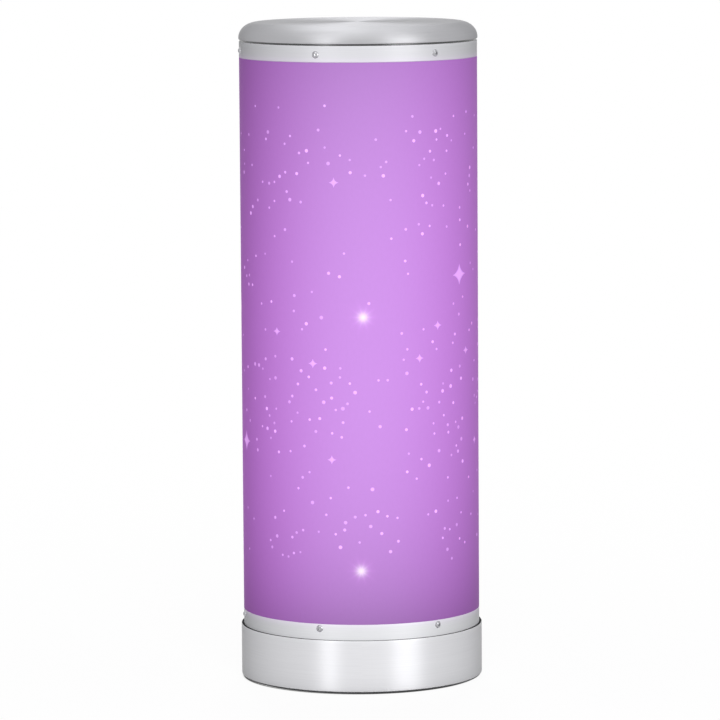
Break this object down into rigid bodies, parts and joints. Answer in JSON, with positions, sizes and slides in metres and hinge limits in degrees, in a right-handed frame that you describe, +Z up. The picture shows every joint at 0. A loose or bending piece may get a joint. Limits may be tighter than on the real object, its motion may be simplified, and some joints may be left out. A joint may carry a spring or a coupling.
{
  "type": "decorative led lamp",
  "caption": "Free-standing column lamp: a lit lilac tube with a star print between a brushed metal base and a spun cap, run from cells under a hinged door.",
  "frame": {"origin": "on the table, on the column's axis, under the middle of the base", "axes": "+Z up along the column, -Y towards the front, +X to the right as seen from the front"},
  "size_m": [0.095, 0.095, 0.2579],
  "materials": {
    "brushed_steel": "satin brushed, fine turned lines",
    "satin_aluminium": "satin",
    "printed_film": "satin lilac film with a star print, lit from inside",
    "opal_acrylic": "opal",
    "black_plastic": "fine moulded grain",
    "black_rubber": "matt",
    "plated_steel": "bright plated",
    "contact_metal": "nickel plated",
    "cell_jacket": "printed jacket, plain",
    "board_laminate": "solder mask",
    "component_plastic": "moulded",
    "switch_plastic": "moulded",
    "cable_jacket": "soft vinyl",
    "lead_jacket": "soft vinyl",
    "mast_aluminium": "mill finish",
    "strip_laminate": "white solder mask",
    "led_package": "moulded with a phosphor window, lit",
    "led_lens": "clear epoxy, lit"
  },
  "bodies": {
    "lamp": {"base_trim": "brushed_steel", "top_cap": "brushed_steel", "lower_collar": "satin_aluminium", "upper_collar": "satin_aluminium", "star_sleeve": "printed_film", "diffuser_tube": "opal_acrylic", "base_housing": "black_plastic", "base_deck": "black_plastic", "top_carrier": "black_plastic", "foot_ring": "black_rubber", "cap_seal": "black_rubber", "lower_collar_screws": "plated_steel", "upper_collar_screws": "plated_steel", "housing_screws": "plated_steel", "board_screws": "plated_steel", "cap_studs": "plated_steel", "cap_nuts": "plated_steel", "switch_body": "plated_steel", "bridge_contacts": "contact_metal", "end_contacts": "contact_metal", "battery_cells": "cell_jacket", "control_board": "board_laminate", "board_components": "component_plastic", "led_cable": "cable_jacket", "battery_leads": "lead_jacket", "led_mast": "mast_aluminium", "led_strip_front": "strip_laminate", "led_strip_right": "strip_laminate", "led_strip_rear": "strip_laminate", "led_strip_left": "strip_laminate", "colour_leds": "led_package", "star_leds": "led_lens"},
    "battery_door": {"battery_door": "black_plastic"},
    "switch_knob": {"switch_knob": "switch_plastic"}
  },
  "joints": [
    {"name": "battery_door_hinge", "type": "hinge", "parent": "lamp", "child": "battery_door", "pos_m": [-0.0282, 0, 0.00135], "axis": [0, 1, 0], "range_deg": [0, 90]},
    {"name": "switch_slide", "type": "slide", "parent": "lamp", "child": "switch_knob", "axis": [1, 0, 0], "range_m": [0, 0.003]}
  ]
}
